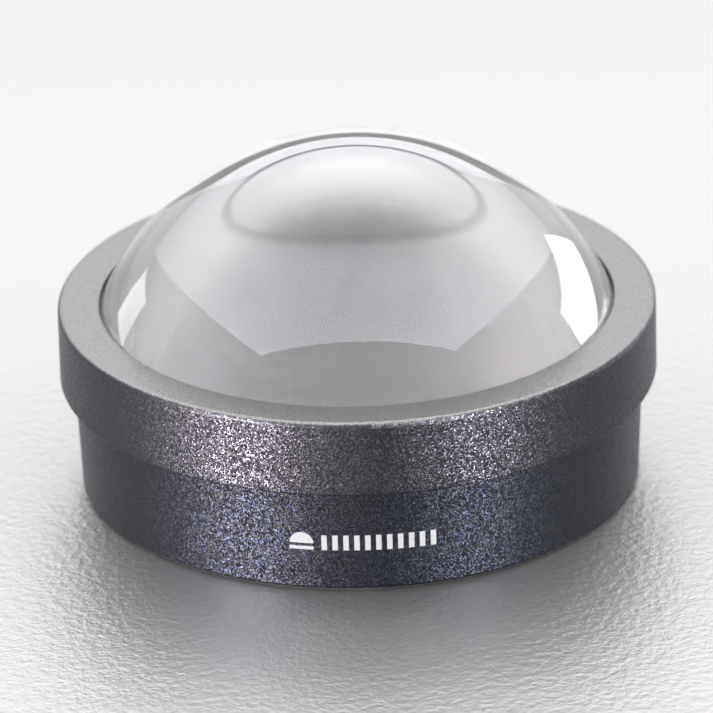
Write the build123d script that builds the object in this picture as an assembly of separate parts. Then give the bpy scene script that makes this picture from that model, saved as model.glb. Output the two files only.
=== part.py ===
"""Dome magnifier for low vision reading: a thick, clear, domed lens in a two-piece stand ring.

The magnifier slides over a page on a thin felt ring. The lens is one solid of clear acrylic with a flat
base close to the page, a ground side wall and a spherical top. It stands on a soft ring on the ledge of
the tapered sleeve, and a wider collar snaps down over the sleeve and traps it under its lip. A soft
gasket fills the corner between lens, lip and sleeve.

Frame: millimetres, +Z up along the lens' axis, origin at the centre of the foot on the resting plane,
-Y towards the reader.
"""

import os
from math import acos, cos, pi, sin, sqrt

from build123d import *

# Lens. The dome is a part of one sphere; the body below it is a plain cylinder with a flat base.
dome_radius = 36.25
dome_centre_z = 8.55
lens_body_radius = 33.8
lens_base_z = 0.9
lens_edge_fillet = 0.05

# Collar, the wider upper ring.
collar_radius = 38.3
collar_top_z = 24.35
collar_bottom_z = 14.35
collar_bore_radius = 36.6
collar_top_fillet = 0.7
collar_bottom_fillet = 0.35
lip_gap = 0.22  # between the dome and the lip's inner wall
lip_thickness = 1.65
lip_edge_fillet = 0.2
bore_lead_in = 0.4

# Sleeve, the narrower lower ring, wider at the top than at the floor.
sleeve_bottom_z = 0.25
sleeve_bottom_radius = 35.85
sleeve_shoulder_radius = 36.5
sleeve_bore_radius = 34.15
sleeve_bottom_fillet = 0.4
spigot_radius = 36.45  # the straight part that stands inside the collar
spigot_chamfer = 0.3
ledge_bore_radius = 32.8
ledge_top_z = 0.7

# Snap joint between sleeve and collar.
snap_z = 17.5
snap_height = 0.35
snap_flat = 0.4
snap_slope = 0.6
snap_clearance = 0.12

# Ribs that centre the lens in the sleeve.
rib_count = 6
rib_width = 1.6
rib_radius = 33.85
rib_height = 6.5
rib_top_clearance = 1.0
rib_root = 0.3  # how far a rib reaches into the sleeve's wall

# Gasket on top of the sleeve.
gasket_height = 1.45
gasket_lens_gap = 0.05
gasket_wall_gap = 0.1

# Soft ring between the ledge and the lens.
cushion_inner_radius = 32.9
cushion_outer_radius = 33.7

# Felt ring under the sleeve, and the adhesive that holds it.
felt_inner_radius = 33.0
felt_outer_radius = 35.3
felt_thickness = 0.2

# Printed mark on the sleeve: a small dome sign and a row of plain bars.
mark_centre_z = 6.9
mark_width = 18.4
mark_height = 2.1
ink_thickness = 0.04
dome_sign_width = 3.0
dome_sign_line = 0.45
bar_count = 11
bar_fill = 0.5  # how much of the bars' spacing is ink
sign_spacing = 1.0


def dome_radius_at(height):
    """The dome's radius at a height above the floor."""
    return sqrt(dome_radius**2 - (height - dome_centre_z) ** 2)


def lathe_polygon(points, fillets=()):
    """A solid of revolution from corner points, with chosen corners rounded first."""
    face = make_face(Polyline(*points, close=True))
    for corner, radius in fillets:
        nearest = face.vertices().sort_by_distance((*corner, 0))[0]
        face = fillet(nearest, radius)
    return revolve(Plane.XZ * face, Axis.Z)


def dome_lens():
    """Clear acrylic lens: flat base with a rounded edge, cylindrical body and spherical dome."""
    shoulder_z = dome_centre_z + sqrt(dome_radius**2 - lens_body_radius**2)
    middle_angle = (acos(lens_body_radius / dome_radius) + pi / 2) / 2
    apex = (0, dome_centre_z + dome_radius)
    on_dome = (
        dome_radius * cos(middle_angle),
        dome_centre_z + dome_radius * sin(middle_angle),
    )
    shoulder = (lens_body_radius, shoulder_z)
    base_edge = (lens_body_radius, lens_base_z)
    sides = Polyline(apex, (0, lens_base_z), base_edge, shoulder)
    face = make_face(sides + ThreePointArc(shoulder, on_dome, apex))
    corner = face.vertices().sort_by_distance((*base_edge, 0))[0]
    return revolve(Plane.XZ * fillet(corner, lens_edge_fillet), Axis.Z)


def grip_collar():
    """Upper ring: a straight wall, a flat lip that follows the dome, and the snap groove in its bore."""
    lip_under_z = collar_top_z - lip_thickness
    lip_top_radius = dome_radius_at(collar_top_z) + lip_gap
    lip_under_radius = dome_radius_at(lip_under_z) + lip_gap
    groove_radius = spigot_radius + snap_height + snap_clearance
    groove_half = snap_flat / 2 + snap_clearance
    points = [
        (lip_top_radius, collar_top_z),
        (collar_radius, collar_top_z),
        (collar_radius, collar_bottom_z),
        (collar_bore_radius + bore_lead_in, collar_bottom_z),
        (collar_bore_radius, collar_bottom_z + bore_lead_in),
        (collar_bore_radius, snap_z - groove_half - snap_slope),
        (groove_radius, snap_z - groove_half),
        (groove_radius, snap_z + groove_half),
        (collar_bore_radius, snap_z + groove_half + snap_slope),
        (collar_bore_radius, lip_under_z),
        (lip_under_radius, lip_under_z),
    ]
    fillets = [
        ((lip_top_radius, collar_top_z), lip_edge_fillet),
        ((collar_radius, collar_top_z), collar_top_fillet),
        ((collar_radius, collar_bottom_z), collar_bottom_fillet),
    ]
    return lathe_polygon(points, fillets)


def sleeve_top_z():
    """Height of the sleeve's top edge, where the gasket sits."""
    return collar_top_z - lip_thickness - gasket_height


def base_sleeve():
    """Lower ring: tapered wall, thin ledge for the lens, and spigot with a snap bead."""
    top_z = sleeve_top_z()
    points = [
        (sleeve_bottom_radius, sleeve_bottom_z),
        (sleeve_shoulder_radius, collar_bottom_z),
        (spigot_radius, collar_bottom_z),
        (spigot_radius, snap_z - snap_flat / 2 - snap_slope),
        (spigot_radius + snap_height, snap_z - snap_flat / 2),
        (spigot_radius + snap_height, snap_z + snap_flat / 2),
        (spigot_radius, snap_z + snap_flat / 2 + snap_slope),
        (spigot_radius, top_z - spigot_chamfer),
        (spigot_radius - spigot_chamfer, top_z),
        (sleeve_bore_radius, top_z),
        (sleeve_bore_radius, ledge_top_z),
        (ledge_bore_radius, ledge_top_z),
        (ledge_bore_radius, sleeve_bottom_z),
    ]
    fillets = [((sleeve_bottom_radius, sleeve_bottom_z), sleeve_bottom_fillet)]
    sleeve = lathe_polygon(points, fillets)
    for rib in centring_ribs(top_z - rib_top_clearance):
        sleeve += rib
    return sleeve


def centring_ribs(top_z):
    """Upright ribs on the sleeve's bore that keep the lens on the axis."""
    depth = sleeve_bore_radius + rib_root - rib_radius
    block = Pos(rib_radius + depth / 2, 0, top_z - rib_height / 2) * Box(
        depth, rib_width, rib_height
    )
    return [Rot(0, 0, 360 * turn / rib_count) * block for turn in range(rib_count)]


def lens_gasket():
    """Soft ring under the lip: flat above and below, its inner wall lying on the dome's shoulder."""
    low_z = sleeve_top_z()
    high_z = low_z + gasket_height
    outer = collar_bore_radius - gasket_wall_gap
    return lathe_polygon(
        [
            (dome_radius_at(high_z) + gasket_lens_gap, high_z),
            (outer, high_z),
            (outer, low_z),
            (dome_radius_at(low_z) + gasket_lens_gap, low_z),
        ]
    )


def ring(inner_radius, outer_radius, low_z, high_z):
    """A flat ring."""
    return lathe_polygon(
        [
            (inner_radius, low_z),
            (outer_radius, low_z),
            (outer_radius, high_z),
            (inner_radius, high_z),
        ]
    )


def seat_cushion():
    """Thin soft ring between the ledge and the flat base of the lens."""
    return ring(cushion_inner_radius, cushion_outer_radius, ledge_top_z, lens_base_z)


def foot_adhesive():
    """Double-sided adhesive film between the sleeve's underside and the felt."""
    return ring(felt_inner_radius, felt_outer_radius, felt_thickness, sleeve_bottom_z)


def foot_ring():
    """Felt ring that the magnifier glides on; its underside is the resting plane."""
    return ring(felt_inner_radius, felt_outer_radius, 0, felt_thickness)


def mark_shapes():
    """The printed mark as flat shapes, x across and y up, centred on the origin."""
    left = -mark_width / 2
    low = -mark_height / 2
    sign_x = left + dome_sign_width / 2
    dome = Pos(sign_x, low + 2 * dome_sign_line) * Circle(dome_sign_width / 2)
    above_line = Pos(sign_x, low + 2 * dome_sign_line + mark_height / 2) * Rectangle(
        dome_sign_width, mark_height
    )
    line = Pos(sign_x, low + dome_sign_line / 2) * Rectangle(
        dome_sign_width, dome_sign_line
    )
    shapes = [dome & above_line, line]
    bars_left = left + dome_sign_width + sign_spacing
    spacing = (mark_width / 2 - bars_left) / (bar_count - 1 + bar_fill)
    bar = Rectangle(spacing * bar_fill, mark_height)
    first_x = bars_left + spacing * bar_fill / 2
    for place in range(bar_count):
        shapes.append(Pos(first_x + place * spacing, 0) * bar)
    return shapes


def side_mark():
    """Pad-printed ink film on the front of the sleeve, following its taper."""
    slope = (sleeve_shoulder_radius - sleeve_bottom_radius) / (collar_bottom_z - sleeve_bottom_z)
    low_z = mark_centre_z - mark_height
    high_z = mark_centre_z + mark_height
    low_radius = sleeve_bottom_radius + slope * (low_z - sleeve_bottom_z)
    high_radius = sleeve_bottom_radius + slope * (high_z - sleeve_bottom_z)
    film = lathe_polygon(
        [
            (low_radius, low_z),
            (low_radius + ink_thickness, low_z),
            (high_radius + ink_thickness, high_z),
            (high_radius, high_z),
        ]
    )
    front = Plane.XZ.offset(sleeve_bottom_radius / 2) * Pos(0, mark_centre_z)
    pieces = [film & extrude(front * shape, sleeve_bottom_radius) for shape in mark_shapes()]
    return Compound(children=[solid for piece in pieces for solid in piece.solids()])


NODES = {
    "dome_lens": dome_lens,
    "grip_collar": grip_collar,
    "base_sleeve": base_sleeve,
    "lens_gasket": lens_gasket,
    "seat_cushion": seat_cushion,
    "foot_adhesive": foot_adhesive,
    "foot_ring": foot_ring,
    "side_mark": side_mark,
}

os.makedirs("parts", exist_ok=True)
for name, build in NODES.items():
    export_step(build(), f"parts/{name}.step")
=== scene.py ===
"""Looks of the dome magnifier: lens, lacquered collar and sleeve, felt foot, in a plain pale studio."""

import math

import bpy
from mathutils import Matrix, Vector


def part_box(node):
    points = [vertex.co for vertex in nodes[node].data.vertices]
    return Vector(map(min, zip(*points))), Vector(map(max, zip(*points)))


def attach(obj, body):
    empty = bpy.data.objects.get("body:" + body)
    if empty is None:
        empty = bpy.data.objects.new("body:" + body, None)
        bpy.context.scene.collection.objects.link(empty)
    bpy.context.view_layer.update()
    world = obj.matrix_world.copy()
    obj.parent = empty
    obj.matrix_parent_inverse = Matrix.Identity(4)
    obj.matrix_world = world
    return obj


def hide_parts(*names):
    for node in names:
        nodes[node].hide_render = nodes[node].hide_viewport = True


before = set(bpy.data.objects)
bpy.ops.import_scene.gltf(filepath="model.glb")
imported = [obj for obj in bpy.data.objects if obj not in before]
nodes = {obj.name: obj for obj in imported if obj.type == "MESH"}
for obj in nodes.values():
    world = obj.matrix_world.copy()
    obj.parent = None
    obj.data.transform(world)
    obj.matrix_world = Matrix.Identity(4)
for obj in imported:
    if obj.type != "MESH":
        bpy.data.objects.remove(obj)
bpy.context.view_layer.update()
scene = bpy.context.scene
scene.view_settings.view_transform = "Standard"

MM = 0.001
EPSILON = 0.001 * MM
WHITE = (1.0, 1.0, 1.0, 1.0)
BLACK = (0.0, 0.0, 0.0, 1.0)
SMOOTH_ANGLE = 20.0  # facets that meet at a smaller angle than this, in degrees, shade as one surface
NOISE_SPREAD = (0.3, 0.7)  # range that most values of a noise lie in

# Lens
LENS_SEGMENTS = 384
DOME_STEPS = 140
EDGE_STEPS = 12
EDGE_FILLET = 0.05 * MM
FLAT_MARGIN = 0.02 * MM  # width of a ring beside the rounded edge, which keeps the flats flat in shading
LENS_SMOOTH_ANGLE = 12.0
BASE_LIFT = 0.02 * MM  # keeps the base clear of the seat ring under it
PROBE_DROP = 10 * MM  # how far below its apex the point lies that gives the dome's radius

# Acrylic: grain of the noise that its roughness follows, the noise's range, and the roughness at its ends
ACRYLIC_IOR = 1.491
POLISHED = (9 * MM, (0.45, 0.75), (0.0, 0.006))
GROUND = (0.5 * MM, NOISE_SPREAD, (0.198, 0.242))

# Lacquer: one cell of flakes, and how far their normals turn round the wall and lean up or down, as slopes
FLAKE_SIZE = 0.13 * MM
FLAKE_TURN = 0.15
FLAKE_LEAN = 0.95
TOP_CALM = 0.15  # how much of that turning and leaning is left on the flat rim
TOP_FACING = (0.5, 0.95)  # upward parts of the normal between which wall turns into rim
WALL_FLAKES = (0.4, 0.95)  # random values between which a cell of the wall turns from paint to flake
TOP_FLAKES = (0.62, 0.95)  # share of flake in the cells of the rim
WARM_HEIGHT = (13 * MM, 16 * MM)  # between these heights the cold tint gives way to the warm one
WARM_FLAKE = ((0.044, 0.036, 0.044, 1), (0.039, 0.039, 0.050, 1))
COLD_FLAKE = ((0.0095, 0.011, 0.021, 1), (0.0125, 0.015, 0.028, 1))
TOP_FLAKE = (0.265, 0.253, 0.243, 1)
PAINT = (0.006, 0.008, 0.014, 1)
PAINT_ROUGH = 0.5
FLAKE_ROUGH = 0.4
TOP_ROUGH = 0.25
PAINT_SPECULAR = 0.16
COAT = 0.08
COAT_ROUGH = 0.3

# Inside the sleeve the plastic is pale and unpainted; low down its colour is darkened with painted shade,
# where hardly any light gets in
BARE_RADIUS = 35.0 * MM
BARE_HEIGHT = 21.4 * MM
BARE_TONE_AND_PAINTED_SHADE = (0.05, 0.30)
PAINTED_SHADE_HEIGHTS = (1.1 * MM, 2.6 * MM)

# Fine relief of each material: grain of its noise, and strength and depth of the bump that follows it
GRAIN = {"coat": 0.35 * MM, "pale": 0.3 * MM, "black": 0.2 * MM, "ink": 0.12 * MM, "felt": 0.15 * MM}
BUMP = {
    "coat": (0.25, 0.03 * MM),
    "pale": (0.3, 0.03 * MM),
    "black": (0.4, 0.03 * MM),
    "ink": (0.3, 0.02 * MM),
    "felt": (0.8, 0.08 * MM),
}
FINE = 3.0  # detail of a noise with small features on its large ones
PALE = (1.0, 1.0, 0.99)
PALE_SHADE = (0.85, 0.95)
PALE_ROUGH = 0.6
SOFT_BLACK = (0.014, 0.014, 0.016, 1)
BLACK_ROUGH = (0.5, 0.75)
INK = ((0.78, 0.75, 0.78, 1), (0.96, 0.93, 0.96, 1))
INK_SPREAD = (0.3, 0.6)
INK_ROUGH = 0.55
FELT = ((0.012, 0.012, 0.014, 1), (0.05, 0.05, 0.055, 1))
FELT_DETAIL = (4.0, 0.7)
FELT_ROUGH = 0.95
FELT_SHEEN = 0.4

# Floor: its painted shade, darker towards the reader and paler away, its fade into the backdrop, and its
# pebbled relief
FLOOR_RADII = (0.0, 0.3, 1.0, 12.0)
FLOOR_SEGMENTS = 96
PAINTED_FLOOR_SHADE = (0.475, 0.58)
FLOOR_PAINTED_SPAN = (-20 * MM, 120 * MM)
FLOOR_TINT = (1.0, 0.957, 0.925)
FLOOR_METAL = 0.88
FLOOR_ROUGH = 0.38
FLOOR_IOR = 1.5
FLOOR_END = (0.30, 1.0)
BACKDROP = (0.90, 0.89, 0.88, 1)
PEBBLE_SIZE = 1.0 * MM
PEBBLE_GRAIN = 0.5 * MM
RELIEF = (0.35, 0.12)
RELIEF_DEPTHS = (-20 * MM, 60 * MM)
RELIEF_HEIGHT = 0.25 * MM
DIM_DEPTH = 60 * MM  # beyond this, painted shade dims the floor for rays both mirrored and passed through the lens
DIM_SHARE = 0.8

# Round patch of the floor under the lens with painted light: a paler colour and a glow that stand in for the
# light that the dome gathers on the floor
PAINTED_POOL_RADIUS = 32.7 * MM
PAINTED_POOL_COLOUR = (0.85, 0.85, 0.84, 1)
PAINTED_POOL_LIGHT = (1.0, 1.0, 0.99, 1)
PAINTED_POOL_GLOW = 0.45

# Overhead panel: half its width, depth and height of its near and far edge, and its strength there
OVERHEAD_HALF = 0.744
OVERHEAD_EDGES = ((-0.5844, 0.744), (0.936, 0.2244))
OVERHEAD_COLOUR = (0.92, 0.96, 1.0, 1)
OVERHEAD_STRENGTH = (4.5, 1.3)

# Side panels: corners as azimuth and elevation seen from the dome, colour and strength
SIDE_DISTANCE = 0.8
DOME_EYE = 30 * MM  # height from which they are seen
SIDE_PANELS = {
    "right": (((30, -1.7), (69.5, -1.7), (69.5, 14.5), (40, 13.5)), (0.95, 0.97, 1.0, 1), 8.0),
    "left": (((-45, -1.7), (-59, 0.0), (-58, 12.0), (-43.5, 9.0)), WHITE, 4.5),
}
HORIZON_DEPTH = 1.2
HORIZON_HALF = 2.5
HORIZON_HEIGHT = 0.3
HORIZON_STRENGTH = 0.9

# Front panels: azimuths of their edges, colour, strength, and the side of the walls that they light
FRONT_DISTANCE = 1.3
FRONT_ELEVATIONS = (6, 20)
FRONT_PANELS = {
    "front_left": ((-141, -128), (1.0, 0.93, 0.98, 1), 600.0, -1.0),
    "front_right": ((142, 131), (0.95, 0.94, 1.0, 1), 350.0, 1.0),
}
RIM_SHADOW = (23.9 * MM, 24.3 * MM)  # heights between which their light ends
SIDE_SHADOW = (-4 * MM, 2 * MM)  # how far across the middle of the walls each of them reaches
DOME_REACH = 32.8 * MM  # within this radius lies the dome
DOME_LIT = 0.68  # share of their light that the dome gets

# Light of the room, behind the object and in front of it, and where along y it changes
ROOM_LIGHT = (0.3, 0.62)
ROOM_DEPTHS = (0.3, -0.8)

# Camera: where it aims, how far away it stands, and its angles
CAMERA_TARGET = Vector((-0.2 * MM, 0.0, 15.8 * MM))
CAMERA_DISTANCE = 1180 * MM
CAMERA_ELEVATION = math.radians(25.0)
CAMERA_ROLL = math.radians(-1.48)
CAMERA_LENS = 464.0
CAMERA_CLIP = (0.01, 100.0)
APERTURE = 10 * MM  # width of the lens opening, which sets how soft things out of focus are
FOCUS_HEIGHT = 106 * MM  # seen from the camera, this point on the axis is as far away as the front rim
SENSOR_WIDTH = 36.0


# ---------------------------------------------------------------- mesh helpers


def link_mesh(name, points, faces):
    """A mesh object from its points and faces, linked to the scene."""
    mesh = bpy.data.meshes.new(name)
    mesh.from_pydata(points, [], faces)
    mesh.update()
    obj = bpy.data.objects.new(name, mesh)
    scene.collection.objects.link(obj)
    return obj


def lathe(name, profile, segments, smooth_angle=SMOOTH_ANGLE):
    """Turns a profile of (radius, z) round the z axis. A radius of zero makes a single point on the axis."""
    points, rings = [], []
    for radius, z in profile:
        first = len(points)
        if radius < EPSILON:
            points.append((0.0, 0.0, z))
            rings.append([first] * segments)
        else:
            for i in range(segments):
                turn = 2 * math.pi * i / segments
                points.append((radius * math.cos(turn), radius * math.sin(turn), z))
            rings.append(list(range(first, first + segments)))
    faces = []
    for low, high in zip(rings, rings[1:]):
        for i in range(segments):
            j = (i + 1) % segments
            corners = [low[i], low[j], high[j], high[i]]
            faces.append(tuple(dict.fromkeys(corners)))
    obj = link_mesh(name, points, faces)
    obj.data.shade_smooth()
    obj.data.set_sharp_from_angle(angle=math.radians(smooth_angle))
    return obj


def sphere_radius(node):
    """Radius of the dome of a CAD node, from its apex and one of its points well below it."""
    points = [v.co for v in nodes[node].data.vertices]
    apex = max(p.z for p in points)
    probe = min(points, key=lambda p: abs(p.z - (apex - PROBE_DROP)))
    drop = apex - probe.z
    return (probe.x**2 + probe.y**2 + drop**2) / (2 * drop)


# ---------------------------------------------------------------- node helpers


class Graph:
    """Adds nodes to one node tree. An input may be a value or another node's output."""

    # Numbers of the Mix node's two inputs and of its output, for each kind of data
    MIX_SOCKETS = {"RGBA": (6, 7, 2), "FLOAT": (2, 3, 0)}
    SCALE_SOCKET = 3

    def __init__(self, tree):
        self.tree = tree
        tree.nodes.clear()

    def add(self, kind, inputs=None, **settings):
        node = self.tree.nodes.new(kind)
        for key, value in settings.items():
            setattr(node, key, value)
        for key, value in (inputs or {}).items():
            if isinstance(value, bpy.types.NodeSocket):
                self.tree.links.new(value, node.inputs[key])
            else:
                node.inputs[key].default_value = value
        return node

    def math(self, operation, a, b=0.0):
        return self.add("ShaderNodeMath", {0: a, 1: b}, operation=operation).outputs[0]

    def vector(self, operation, a, b=(0.0, 0.0, 0.0)):
        return self.add("ShaderNodeVectorMath", {0: a, 1: b}, operation=operation).outputs[0]

    def scale(self, vector, factor):
        inputs = {0: vector, self.SCALE_SOCKET: factor}
        return self.add("ShaderNodeVectorMath", inputs, operation="SCALE").outputs[0]

    def length(self, vector):
        return self.add("ShaderNodeVectorMath", {0: vector}, operation="LENGTH").outputs["Value"]

    def axis(self, vector, name):
        """The X, Y or Z part of a vector."""
        return self.add("ShaderNodeSeparateXYZ", {0: vector}).outputs[name]

    def mix(self, factor, a, b, kind="RGBA"):
        first, second, out = self.MIX_SOCKETS[kind]
        return self.add("ShaderNodeMix", {0: factor, first: a, second: b}, data_type=kind).outputs[out]

    def ramp(self, value, low, high, to_low=0.0, to_high=1.0, smooth=True):
        inputs = {"Value": value, "From Min": low, "From Max": high, "To Min": to_low, "To Max": to_high}
        kind = "SMOOTHSTEP" if smooth else "LINEAR"
        return self.add("ShaderNodeMapRange", inputs, interpolation_type=kind).outputs[0]

    def coords(self):
        return self.add("ShaderNodeTexCoord").outputs["Object"]

    def noise(self, coords, grain, detail=2.0, roughness=0.5):
        """Noise whose features are about grain metres across."""
        inputs = {"Vector": coords, "Scale": 1 / grain, "Detail": detail, "Roughness": roughness}
        return self.add("ShaderNodeTexNoise", inputs).outputs["Fac"]

    def bump(self, height, strength, depth):
        inputs = {"Strength": strength, "Distance": depth, "Height": height}
        return self.add("ShaderNodeBump", inputs).outputs[0]

    def emission(self, colour, strength):
        return self.add("ShaderNodeEmission", {"Color": colour, "Strength": strength}).outputs[0]

    def blend(self, factor, a, b):
        """Between two shaders."""
        return self.add("ShaderNodeMixShader", {0: factor, 1: a, 2: b}).outputs[0]

    def surface(self, shader, output="ShaderNodeOutputMaterial"):
        self.tree.links.new(shader, self.add(output).inputs["Surface"])

    def principled(self, inputs):
        return self.add("ShaderNodeBsdfPrincipled", inputs).outputs[0]


def new_material(name):
    material = bpy.data.materials.new(name)
    material.use_nodes = True
    return material, Graph(material.node_tree)


def paint(obj, material):
    """Gives the whole object one material."""
    if obj.data.materials:
        for i in range(len(obj.data.materials)):
            obj.data.materials[i] = material
    else:
        obj.data.materials.append(material)


# ---------------------------------------------------------------- materials


def acrylic(name, grain, spread, rough):
    """Clear acrylic. Its roughness follows noise: over its spread it goes through the range of rough."""
    material, g = new_material(name)
    mottle = g.noise(g.coords(), grain, FINE)
    inputs = {
        "Base Color": WHITE,
        "Roughness": g.ramp(mottle, *spread, *rough),
        "IOR": ACRYLIC_IOR,
        "Transmission Weight": 1.0,
    }
    g.surface(g.principled(inputs))
    return material


def flake_normals(g, normal, coords, on_top, pick):
    """Normals that turn and lean at random from cell to cell, less so on the flat rim."""
    around = g.vector("NORMALIZE", g.vector("CROSS_PRODUCT", (0.0, 0.0, 1.0), coords))
    along = g.vector("CROSS_PRODUCT", normal, around)
    calm = g.ramp(on_top, 0.0, 1.0, 1.0, TOP_CALM, smooth=False)
    tilt = normal
    for way, value, slope in ((around, pick[1], FLAKE_TURN), (along, pick[2], FLAKE_LEAN)):
        amount = g.math("MULTIPLY", g.math("SUBTRACT", value, 0.5), g.math("MULTIPLY", calm, slope))
        tilt = g.vector("ADD", tilt, g.scale(way, amount))
    return g.vector("NORMALIZE", tilt)


def bare_plastic_with_painted_shade(g, coords, height):
    """Where the plastic is unpainted, as 0 or 1, and its colour there, darkened towards the bottom with
    painted shade.
    """
    radius = g.length(g.vector("MULTIPLY", coords, (1.0, 1.0, 0.0)))
    within = g.math("LESS_THAN", radius, BARE_RADIUS)
    bare = g.math("MULTIPLY", within, g.math("LESS_THAN", height, BARE_HEIGHT))
    # the colour darkens towards the bottom: painted shade low in the bore
    return bare, g.scale(WHITE[:3], g.ramp(height, *PAINTED_SHADE_HEIGHTS, *BARE_TONE_AND_PAINTED_SHADE))


def flake_lacquer():
    """Blue-black lacquer with fine metal flakes under a satin coat; pale and unpainted inside the sleeve,
    with painted shade low down there.
    """
    material, g = new_material("flake_lacquer")
    coords = g.coords()
    height = g.axis(coords, "Z")
    normal = g.add("ShaderNodeNewGeometry").outputs["Normal"]
    on_top = g.ramp(g.axis(normal, "Z"), *TOP_FACING)
    cells = g.add("ShaderNodeTexVoronoi", {"Vector": coords, "Scale": 1 / FLAKE_SIZE})
    pick = g.add("ShaderNodeSeparateColor", {0: cells.outputs["Color"]}).outputs
    warm = g.mix(pick[1], *WARM_FLAKE)
    cold = g.mix(pick[1], *COLD_FLAKE)
    tint = g.mix(on_top, g.mix(g.ramp(height, *WARM_HEIGHT), cold, warm), TOP_FLAKE)
    on_wall = g.ramp(pick[0], *WALL_FLAKES)
    on_rim = g.ramp(pick[0], 0.0, 1.0, *TOP_FLAKES, smooth=False)
    bare, plastic_with_painted_shade = bare_plastic_with_painted_shade(g, coords, height)
    flake = g.math("MULTIPLY", g.mix(on_top, on_wall, on_rim, "FLOAT"), g.math("SUBTRACT", 1.0, bare))
    wall_rough = g.mix(flake, PAINT_ROUGH, FLAKE_ROUGH, "FLOAT")
    inputs = {
        "Base Color": g.mix(bare, g.mix(flake, PAINT, tint), plastic_with_painted_shade),
        "Metallic": flake,
        "Roughness": g.mix(on_top, wall_rough, TOP_ROUGH, "FLOAT"),
        "Specular IOR Level": PAINT_SPECULAR,
        "Normal": flake_normals(g, normal, coords, on_top, pick),
        "Coat Weight": COAT,
        "Coat Roughness": COAT_ROUGH,
        "Coat Normal": g.bump(g.noise(coords, GRAIN["coat"]), *BUMP["coat"]),
    }
    g.surface(g.principled(inputs))
    return material


def soft_pale():
    """Pale elastomer of the seat ring."""
    material, g = new_material("soft_pale")
    grain = g.noise(g.coords(), GRAIN["pale"], FINE)
    inputs = {
        "Base Color": g.scale(PALE, g.ramp(grain, *NOISE_SPREAD, *PALE_SHADE)),
        "Roughness": PALE_ROUGH,
        "Normal": g.bump(grain, *BUMP["pale"]),
    }
    g.surface(g.principled(inputs))
    return material


def soft_black():
    """Black elastomer of the gasket, and the adhesive under the foot."""
    material, g = new_material("soft_black")
    grain = g.noise(g.coords(), GRAIN["black"], FINE)
    inputs = {
        "Base Color": SOFT_BLACK,
        "Roughness": g.ramp(grain, *NOISE_SPREAD, *BLACK_ROUGH),
        "Normal": g.bump(grain, *BUMP["black"]),
    }
    g.surface(g.principled(inputs))
    return material


def white_ink():
    """White print, thin enough that specks of it are greyer."""
    material, g = new_material("white_ink")
    speckle = g.noise(g.coords(), GRAIN["ink"])
    inputs = {
        "Base Color": g.mix(g.ramp(speckle, *INK_SPREAD), *INK),
        "Roughness": INK_ROUGH,
        "Normal": g.bump(speckle, *BUMP["ink"]),
    }
    g.surface(g.principled(inputs))
    return material


def felt():
    """Black felt of the foot ring."""
    material, g = new_material("felt")
    fibre = g.noise(g.coords(), GRAIN["felt"], *FELT_DETAIL)
    inputs = {
        "Base Color": g.mix(fibre, *FELT),
        "Roughness": FELT_ROUGH,
        "Sheen Weight": FELT_SHEEN,
        "Normal": g.bump(fibre, *BUMP["felt"]),
    }
    g.surface(g.principled(inputs))
    return material


def floor_with_painted_shade(g, depth):
    """Colour level of the floor with painted shade: darker towards the reader, and dimmed behind the object
    for rays mirrored and passed through the lens.
    """
    rays = g.add("ShaderNodeLightPath").outputs
    both = g.math("MINIMUM", rays["Glossy Depth"], rays["Transmission Depth"])
    dim = g.math("MULTIPLY", g.math("GREATER_THAN", depth, DIM_DEPTH), g.math("MINIMUM", both, 1.0))
    left = g.math("SUBTRACT", 1.0, g.math("MULTIPLY", dim, DIM_SHARE))
    return g.math("MULTIPLY", g.ramp(depth, *FLOOR_PAINTED_SPAN, *PAINTED_FLOOR_SHADE), left)


def floor_material():
    """Pale grey desk mat with a fine pebbled surface, which fades into a plain pale backdrop far away. Its
    colour carries painted shade, and a painted pool of light glows under the lens.
    """
    material, g = new_material("floor")
    coords = g.coords()
    depth = g.axis(coords, "Y")
    distance = g.length(coords)
    # under the lens the floor has a painted pool of light: paler colour, no metal, and a glow
    painted_pool_under_lens = g.math("LESS_THAN", distance, PAINTED_POOL_RADIUS)
    cells = {"Vector": coords, "Scale": 1 / PEBBLE_SIZE}
    pebbles = g.add("ShaderNodeTexVoronoi", cells, feature="SMOOTH_F1").outputs["Distance"]
    height = g.math("ADD", pebbles, g.noise(coords, PEBBLE_GRAIN, FINE))
    inputs = {
        "Base Color": g.mix(painted_pool_under_lens, g.scale(FLOOR_TINT, floor_with_painted_shade(g, depth)), PAINTED_POOL_COLOUR),
        "Emission Color": PAINTED_POOL_LIGHT,
        "Emission Strength": g.math("MULTIPLY", painted_pool_under_lens, PAINTED_POOL_GLOW),
        "Metallic": g.mix(painted_pool_under_lens, FLOOR_METAL, 0.0, "FLOAT"),
        "Roughness": FLOOR_ROUGH,
        "IOR": FLOOR_IOR,
        "Normal": g.bump(height, g.ramp(depth, *RELIEF_DEPTHS, *RELIEF), RELIEF_HEIGHT),
    }
    g.surface(g.blend(g.ramp(distance, *FLOOR_END), g.principled(inputs), g.emission(BACKDROP, 1.0)))
    return material


# ---------------------------------------------------------------- pieces


def lens_profile(base_z, body, radius, centre_z):
    """Outline of the lens from the middle of its base, round the edge and up the wall, to its apex."""
    edge_r, edge_z = body - EDGE_FILLET, base_z + EDGE_FILLET
    profile = [(0.0, base_z), (edge_r - FLAT_MARGIN, base_z)]
    for i in range(EDGE_STEPS + 1):
        turn = math.pi / 2 * i / EDGE_STEPS
        profile.append((edge_r + EDGE_FILLET * math.sin(turn), edge_z - EDGE_FILLET * math.cos(turn)))
    profile.append((body, edge_z + FLAT_MARGIN))
    start = math.asin(body / radius)
    for i in range(DOME_STEPS + 1):
        lean = start * (1 - i / DOME_STEPS)
        profile.append((radius * math.sin(lean), centre_z + radius * math.cos(lean)))
    return profile


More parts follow.
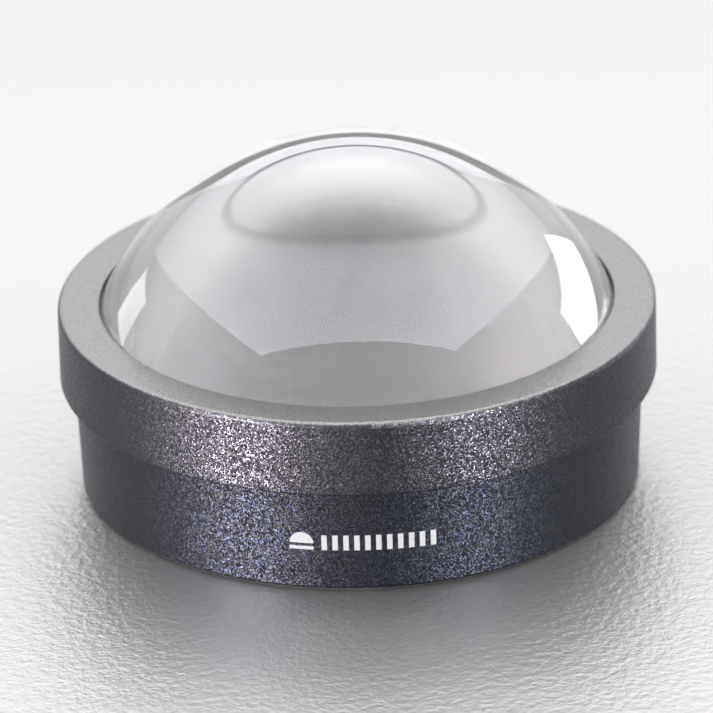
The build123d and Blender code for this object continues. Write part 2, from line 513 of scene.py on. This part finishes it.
def lens_piece():
    """The acrylic lens: flat base with a rounded edge, ground side wall, polished dome."""
    low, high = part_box("dome_lens")
    radius = sphere_radius("dome_lens")
    centre_z = high.z - radius
    base_z = low.z + BASE_LIFT
    shoulder_z = centre_z + math.sqrt(radius**2 - high.x**2)
    profile = lens_profile(base_z, high.x, radius, centre_z)
    obj = lathe("lens", profile, LENS_SEGMENTS, LENS_SMOOTH_ANGLE)
    obj.data.materials.append(acrylic("acrylic_polished", *POLISHED))
    obj.data.materials.append(acrylic("acrylic_ground", *GROUND))
    for face in obj.data.polygons:
        if base_z + EPSILON < face.center.z < shoulder_z:
            face.material_index = 1
    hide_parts("dome_lens")
    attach(obj, "root")
    return obj


# ---------------------------------------------------------------- studio


def direction(azimuth, elevation):
    """Unit vector for an azimuth from +Y toward +X and an elevation, in degrees."""
    a, e = math.radians(azimuth), math.radians(elevation)
    return Vector((math.sin(a) * math.cos(e), math.cos(a) * math.cos(e), math.sin(e)))


def seen_from_dome(azimuth, elevation, distance):
    """Point at a level distance, seen from the dome at an azimuth and elevation in degrees."""
    a, e = math.radians(azimuth), math.radians(elevation)
    return Vector((distance * math.sin(a), distance * math.cos(a), DOME_EYE + distance * math.tan(e)))


def light(name, colour, strength):
    """Material of a light panel with the same strength all over."""
    material, g = new_material(name)
    g.surface(g.emission(colour, strength))
    return material


def graded_light(name, colour, strengths, depths):
    """Material of a light panel whose strength changes evenly between two depths."""
    material, g = new_material(name)
    level = g.ramp(g.axis(g.coords(), "Y"), *depths, *strengths, smooth=False)
    g.surface(g.emission(colour, level))
    return material


def wall_light(name, colour, strength, side):
    """Light for one side of the walls and, weaker, for the dome: it stays off the rim and the other side.

    The mask looks at where the ray that meets the panel started. Side is the sign of x that gets the light.
    """
    material, g = new_material(name)
    here = g.add("ShaderNodeNewGeometry").outputs
    length = g.add("ShaderNodeLightPath").outputs["Ray Length"]
    start = g.vector("ADD", here["Position"], g.scale(here["Incoming"], length))
    from_dome = g.math("LESS_THAN", g.length(g.vector("MULTIPLY", start, (1.0, 1.0, 0.0))), DOME_REACH)
    below_rim = g.ramp(g.axis(start, "Z"), *reversed(RIM_SHADOW))
    on_side = g.ramp(g.math("MULTIPLY", g.axis(start, "X"), side), *SIDE_SHADOW)
    lit = g.mix(from_dome, g.math("MULTIPLY", below_rim, on_side), DOME_LIT, "FLOAT")
    g.surface(g.blend(lit, g.emission(BLACK, 0.0), g.emission(colour, strength)))
    return material


def panel(name, corners, material, shine_on=None):
    """A light panel the camera doesn't see. With shine_on, it shows only in gloss on those pieces."""
    obj = link_mesh(name, [tuple(c) for c in corners], [(0, 1, 2, 3)])
    paint(obj, material)
    obj.visible_camera = False
    if shine_on:
        obj.visible_diffuse = False
        obj.visible_transmission = False
        obj.light_linking.receiver_collection = shine_on
    return obj


def strip(half, near, far):
    """Corners of a panel that spans half to either side, between two edges given as depth and height."""
    return [(-half, *near), (half, *near), (half, *far), (-half, *far)]


def build_lights(pieces):
    near, far = OVERHEAD_EDGES
    glow = graded_light("overhead_light", OVERHEAD_COLOUR, OVERHEAD_STRENGTH, (near[0], far[0]))
    panel("overhead_panel", strip(OVERHEAD_HALF, near, far), glow)
    for name, (angles, colour, strength) in SIDE_PANELS.items():
        corners = [seen_from_dome(a, e, SIDE_DISTANCE) for a, e in angles]
        panel(f"{name}_panel", corners, light(f"{name}_light", colour, strength), pieces)
    low, high = (HORIZON_DEPTH, 0.0), (HORIZON_DEPTH, HORIZON_HEIGHT)
    glow = light("horizon_light", WHITE, HORIZON_STRENGTH)
    panel("horizon_panel", strip(HORIZON_HALF, low, high), glow, pieces)
    below, above = FRONT_ELEVATIONS
    for name, ((start, end), colour, strength, side) in FRONT_PANELS.items():
        angles = ((start, below), (end, below), (end, above), (start, above))
        corners = [direction(a, e) * FRONT_DISTANCE for a, e in angles]
        panel(f"{name}_panel", corners, wall_light(f"{name}_light", colour, strength, side), pieces)


def build_world():
    """Soft light from all round, brighter from the front. The camera sees the plain backdrop instead."""
    world = bpy.data.worlds.new("studio")
    scene.world = world
    world.use_nodes = True
    g = Graph(world.node_tree)
    toward = g.add("ShaderNodeTexCoord").outputs["Generated"]
    level = g.ramp(g.axis(toward, "Y"), *ROOM_DEPTHS, *ROOM_LIGHT)
    room = g.add("ShaderNodeBackground", {"Color": WHITE, "Strength": level}).outputs[0]
    seen = g.add("ShaderNodeBackground", {"Color": BACKDROP, "Strength": 1.0}).outputs[0]
    camera_ray = g.add("ShaderNodeLightPath").outputs["Is Camera Ray"]
    g.surface(g.blend(camera_ray, room, seen), "ShaderNodeOutputWorld")


def build_floor():
    floor = lathe("floor", [(radius, 0.0) for radius in FLOOR_RADII], FLOOR_SEGMENTS)
    paint(floor, floor_material())


def build_camera():
    """Camera at its elevation in front of the object, rolled, with the front rim in focus."""
    back = Vector((0.0, -math.cos(CAMERA_ELEVATION), math.sin(CAMERA_ELEVATION)))
    right = Vector((1.0, 0.0, 0.0))
    up = Vector((0.0, math.sin(CAMERA_ELEVATION), math.cos(CAMERA_ELEVATION)))
    c, s = math.cos(CAMERA_ROLL), math.sin(CAMERA_ROLL)
    axis_x = right * c + up * s
    axis_y = up * c - right * s
    focus = bpy.data.objects.new("focus", None)
    focus.location = (0.0, 0.0, FOCUS_HEIGHT)
    scene.collection.objects.link(focus)
    data = bpy.data.cameras.new("camera")
    data.lens = CAMERA_LENS
    data.sensor_width = SENSOR_WIDTH
    data.dof.use_dof = True
    data.dof.aperture_fstop = CAMERA_LENS * MM / APERTURE
    data.dof.focus_object = focus
    data.clip_start, data.clip_end = CAMERA_CLIP
    camera = bpy.data.objects.new("camera", data)
    scene.collection.objects.link(camera)
    turn = Matrix((axis_x, axis_y, back)).transposed().to_4x4()
    camera.matrix_world = Matrix.Translation(CAMERA_TARGET + back * CAMERA_DISTANCE) @ turn
    scene.camera = camera


# ---------------------------------------------------------------- assembly

lens = lens_piece()
lacquer = flake_lacquer()
black = soft_black()
looks = {
    "grip_collar": lacquer,
    "base_sleeve": lacquer,
    "lens_gasket": black,
    "foot_adhesive": black,
    "seat_cushion": soft_pale(),
    "side_mark": white_ink(),
    "foot_ring": felt(),
}
for name, material in looks.items():
    paint(nodes[name], material)

build_floor()
pieces = bpy.data.collections.new("pieces")
for obj in (lens, *nodes.values()):
    pieces.objects.link(obj)
build_lights(pieces)
build_world()
build_camera()
